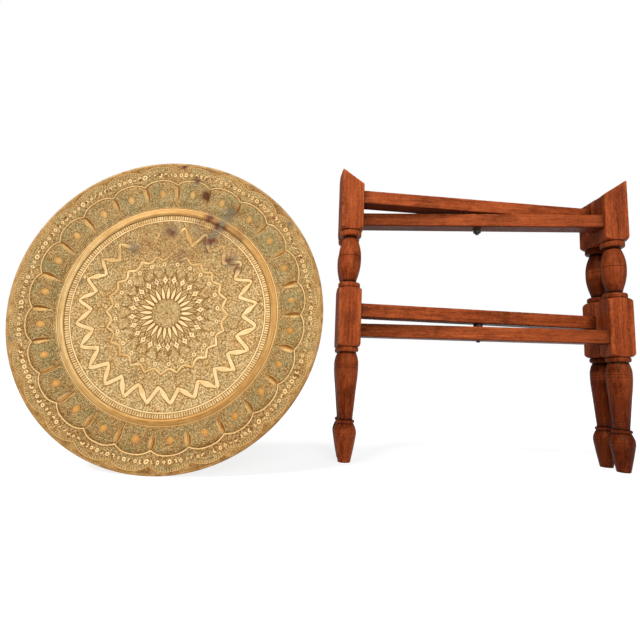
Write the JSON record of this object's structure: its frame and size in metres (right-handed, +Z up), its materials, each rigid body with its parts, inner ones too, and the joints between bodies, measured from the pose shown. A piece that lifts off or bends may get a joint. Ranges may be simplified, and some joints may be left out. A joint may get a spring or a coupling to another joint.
{
  "type": "tray table",
  "caption": "Round embossed brass tray standing beside its folding cross-frame stand of turned wooden legs, rails and pivot bolts.",
  "frame": {"origin": "middle of the underside of the whole row, on the floor", "axes": "+Z up; -Y is the side that the tray faces; +X runs from the tray to the folded stand"},
  "size_m": [1.0872, 0.2452, 0.56],
  "materials": {
    "varnished_wood": "satin varnish, reddish brown, dark in the grooves",
    "dark_peg_wood": "dark end grain, satin",
    "aged_brass": "embossed and engraved, worn bright on the relief with greenish tarnish in the ground",
    "dark_iron": "dark, dull iron"
  },
  "bodies": {
    "frame_a": {"leg_front_left": "varnished_wood", "leg_back_right": "varnished_wood", "upper_rail_a": "varnished_wood", "lower_rail_a": "varnished_wood", "tenon_peg_upper_a_left": "dark_peg_wood", "tenon_peg_upper_a_right": "dark_peg_wood", "tenon_peg_lower_a_left": "dark_peg_wood", "tenon_peg_lower_a_right": "dark_peg_wood", "pivot_bolt_upper": "dark_iron", "head_washer_upper": "dark_iron", "spacer_washer_upper": "dark_iron", "nut_washer_upper": "dark_iron", "pivot_nut_upper": "dark_iron", "pivot_bolt_lower": "dark_iron", "head_washer_lower": "dark_iron", "spacer_washer_lower": "dark_iron", "nut_washer_lower": "dark_iron", "pivot_nut_lower": "dark_iron"},
    "frame_b": {"leg_back_left": "varnished_wood", "leg_front_right": "varnished_wood", "upper_rail_b": "varnished_wood", "lower_rail_b": "varnished_wood", "tenon_peg_upper_b_left": "dark_peg_wood", "tenon_peg_upper_b_right": "dark_peg_wood", "tenon_peg_lower_b_left": "dark_peg_wood", "tenon_peg_lower_b_right": "dark_peg_wood"},
    "tray": {"brass_tray": "aged_brass"}
  },
  "joints": [
    {"name": "frame_fold", "type": "hinge", "parent": "frame_a", "child": "frame_b", "pos_m": [0.25978, 0.07459, 0.3], "axis": [0, 0, -1], "range_deg": [0, 79.4]},
    {"name": "tray_lift", "type": "slide", "parent": "frame_a", "child": "tray", "axis": [0, 0, 1], "range_m": [0, 0.57]}
  ]
}
